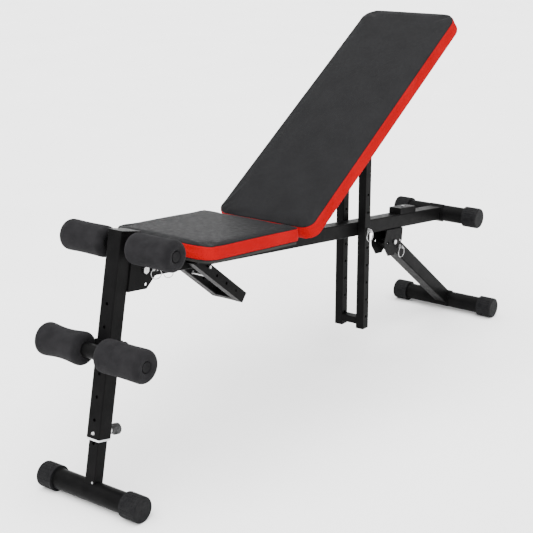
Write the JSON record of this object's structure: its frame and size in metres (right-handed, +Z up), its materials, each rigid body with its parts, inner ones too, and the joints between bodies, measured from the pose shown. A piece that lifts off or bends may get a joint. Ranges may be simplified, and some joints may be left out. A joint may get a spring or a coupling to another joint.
{
  "type": "decline sit up bench",
  "caption": "Folding decline sit-up bench with adjustable seat, backrest, rear leg and front post, and foam leg rollers on the post.",
  "frame": {"origin": "on the floor, midway between the front and rear foot tubes, in the bench's middle plane", "axes": "+Z up, +Y from the front post towards the rear foot, +X to the left of a user who lies on the bench with the legs at the front post"},
  "size_m": [0.356, 1.666, 0.9779],
  "materials": {
    "black_frame": "satin black powder coat",
    "zinc_steel": "bright zinc plate",
    "grey_knob": "matt grey cast metal",
    "black_knob": "matt moulded plastic",
    "black_rubber": "matt moulded rubber",
    "grey_bush": "matt moulded plastic",
    "black_foam": "matt closed-cell foam",
    "black_cover": "grained black coated fabric with a red band round the side",
    "dark_board": "black-stained board"
  },
  "bodies": {
    "rail": {"main_rail": "black_frame", "pivot_bolts": "zinc_steel", "backrest_stop": "black_frame", "stop_screw": "zinc_steel", "rear_leg_bracket": "black_frame", "hinge_lugs": "black_frame", "hinge_pins": "zinc_steel", "cross_bar": "black_frame", "cross_bar_caps": "black_rubber", "cross_bar_saddle": "black_frame"},
    "front_post": {"outer_post": "black_frame", "post_bush": "grey_bush", "bush_rivet": "zinc_steel", "front_bracket": "black_frame", "upper_axle": "black_frame", "upper_axle_plugs": "black_knob", "post_pull_housing": "zinc_steel"},
    "front_foot": {"front_foot_tube": "black_frame", "front_foot_caps": "black_rubber", "inner_post": "black_frame", "foot_bolt": "zinc_steel"},
    "post_pull": {"post_pull_pin": "zinc_steel", "post_pull_knob": "grey_knob"},
    "upper_roller_left": {"upper_roller_left": "black_foam"},
    "upper_roller_right": {"upper_roller_right": "black_foam"},
    "carriage": {"carriage_sleeve": "black_frame", "lower_axle": "black_frame", "lower_axle_plugs": "black_knob"},
    "carriage_pull": {"carriage_knob": "black_knob"},
    "lower_roller_left": {"lower_roller_left": "black_foam"},
    "lower_roller_right": {"lower_roller_right": "black_foam"},
    "rear_leg": {"rear_leg_tube": "black_frame", "rear_foot_saddle": "black_frame", "rear_foot_tube": "black_frame", "rear_foot_caps": "black_rubber"},
    "seat": {"seat_pad": "black_cover", "seat_board": "dark_board", "seat_rails": "black_frame", "seat_hinge_angles": "black_frame", "seat_ladder_bolts": "zinc_steel"},
    "seat_ladder": {"seat_ladder_bars": "black_frame", "seat_ladder_crossbar": "black_frame", "seat_ladder_rod": "zinc_steel", "seat_lock_pin_end": "zinc_steel"},
    "backrest": {"backrest_pad": "black_cover", "backrest_board": "dark_board", "backrest_rails": "black_frame", "backrest_crossbars": "black_frame", "backrest_hinge_arms": "black_frame", "backrest_ladder_bolt": "zinc_steel"},
    "backrest_ladder": {"backrest_ladder_bars": "black_frame", "backrest_ladder_crossbar": "black_frame"},
    "post_lock_pin": {"post_lock_pin": "zinc_steel"},
    "post_lock_ring": {"post_lock_ring": "zinc_steel"},
    "seat_lock_pin": {"seat_lock_pin": "zinc_steel"},
    "seat_lock_ring": {"seat_lock_ring": "zinc_steel"},
    "backrest_lock_pin": {"backrest_lock_pin": "zinc_steel"},
    "backrest_lock_ring": {"backrest_lock_ring": "zinc_steel"},
    "leg_lock_pin": {"leg_lock_pin": "zinc_steel"},
    "leg_lock_ring": {"leg_lock_ring": "zinc_steel"}
  },
  "joints": [
    {"name": "front_post_fold", "type": "hinge", "parent": "rail", "child": "front_post", "pos_m": [0, -0.61452, 0.51741], "axis": [1, 0, 0], "range_deg": [0, 70]},
    {"name": "front_height", "type": "slide", "parent": "front_post", "child": "front_foot", "axis": [0, -0.2343, -0.9722], "range_m": [-0.025, 0.1]},
    {"name": "post_pull", "type": "slide", "parent": "front_post", "child": "post_pull", "axis": [0, 0.9722, -0.2343], "range_m": [0, 0.012], "stiffness_N_per_m": 800},
    {"name": "upper_roller_left_spin", "type": "hinge", "parent": "front_post", "child": "upper_roller_left", "pos_m": [0, -0.66239, 0.5847], "axis": [1, 0, 0], "continuous": true},
    {"name": "upper_roller_right_spin", "type": "hinge", "parent": "front_post", "child": "upper_roller_right", "pos_m": [0, -0.66239, 0.5847], "axis": [1, 0, 0], "continuous": true},
    {"name": "carriage_slide", "type": "slide", "parent": "front_post", "child": "carriage", "axis": [0, 0.2343, 0.9722], "range_m": [-0.107, 0.107]},
    {"name": "carriage_pull", "type": "slide", "parent": "carriage", "child": "carriage_pull", "axis": [0, 0.9722, -0.2343], "range_m": [0, 0.012], "stiffness_N_per_m": 800},
    {"name": "lower_roller_left_spin", "type": "hinge", "parent": "carriage", "child": "lower_roller_left", "pos_m": [0, -0.76616, 0.36109], "axis": [1, 0, 0], "continuous": true},
    {"name": "lower_roller_right_spin", "type": "hinge", "parent": "carriage", "child": "lower_roller_right", "pos_m": [0, -0.76616, 0.36109], "axis": [1, 0, 0], "continuous": true},
    {"name": "rear_leg_fold", "type": "hinge", "parent": "rail", "child": "rear_leg", "pos_m": [0, 0.45375, 0.31325], "axis": [1, 0, 0], "range_deg": [-30, 30.6]},
    {"name": "seat_tilt", "type": "hinge", "parent": "rail", "child": "seat", "pos_m": [0, -0.21194, 0.48779], "axis": [-1, 0, 0], "range_deg": [0, 10]},
    {"name": "seat_ladder_swing", "type": "hinge", "parent": "seat", "child": "seat_ladder", "pos_m": [0, -0.464, 0.51148], "axis": [-1, 0, 0], "range_deg": [0, 18]},
    {"name": "backrest_recline", "type": "hinge", "parent": "rail", "child": "backrest", "pos_m": [0, -0.11941, 0.47993], "axis": [1, 0, 0], "range_deg": [-12, 33]},
    {"name": "backrest_ladder_swing", "type": "hinge", "parent": "backrest", "child": "backrest_ladder", "pos_m": [0, 0.28073, 0.72458], "axis": [1, 0, 0], "range_deg": [-11, 4]},
    {"name": "post_lock_pull", "type": "slide", "parent": "front_post", "child": "post_lock_pin", "axis": [1, 0, 0], "range_m": [0, 0.06]},
    {"name": "post_lock_ring_swing", "type": "hinge", "parent": "post_lock_pin", "child": "post_lock_ring", "pos_m": [0.0314, -0.58677, 0.51366], "axis": [0, -1, 0], "range_deg": [0, 80]},
    {"name": "seat_lock_pull", "type": "slide", "parent": "seat_ladder", "child": "seat_lock_pin", "axis": [-1, 0, 0], "range_m": [0, 0.06]},
    {"name": "seat_lock_ring_swing", "type": "hinge", "parent": "seat_lock_pin", "child": "seat_lock_ring", "pos_m": [-0.08, -0.42432, 0.45119], "axis": [0, 1, 0], "range_deg": [0, 80]},
    {"name": "backrest_lock_pull", "type": "slide", "parent": "backrest_ladder", "child": "backrest_lock_pin", "axis": [1, 0, 0], "range_m": [0, 0.06]},
    {"name": "backrest_lock_ring_swing", "type": "hinge", "parent": "backrest_lock_pin", "child": "backrest_lock_ring", "pos_m": [0.057, 0.26943, 0.39778], "axis": [0, -1, 0], "range_deg": [0, 80]},
    {"name": "leg_lock_pull", "type": "slide", "parent": "rail", "child": "leg_lock_pin", "axis": [1, 0, 0], "range_m": [0, 0.06]},
    {"name": "leg_lock_ring_swing", "type": "hinge", "parent": "leg_lock_pin", "child": "leg_lock_ring", "pos_m": [0.031, 0.48055, 0.29153], "axis": [0, -1, 0], "range_deg": [0, 80]}
  ],
  "couplings": [
    {"joint": "seat_ladder_swing", "follows": "seat_tilt", "ratio": 1.78},
    {"joint": "backrest_ladder_swing", "follows": "backrest_recline", "ratio": -0.3}
  ]
}
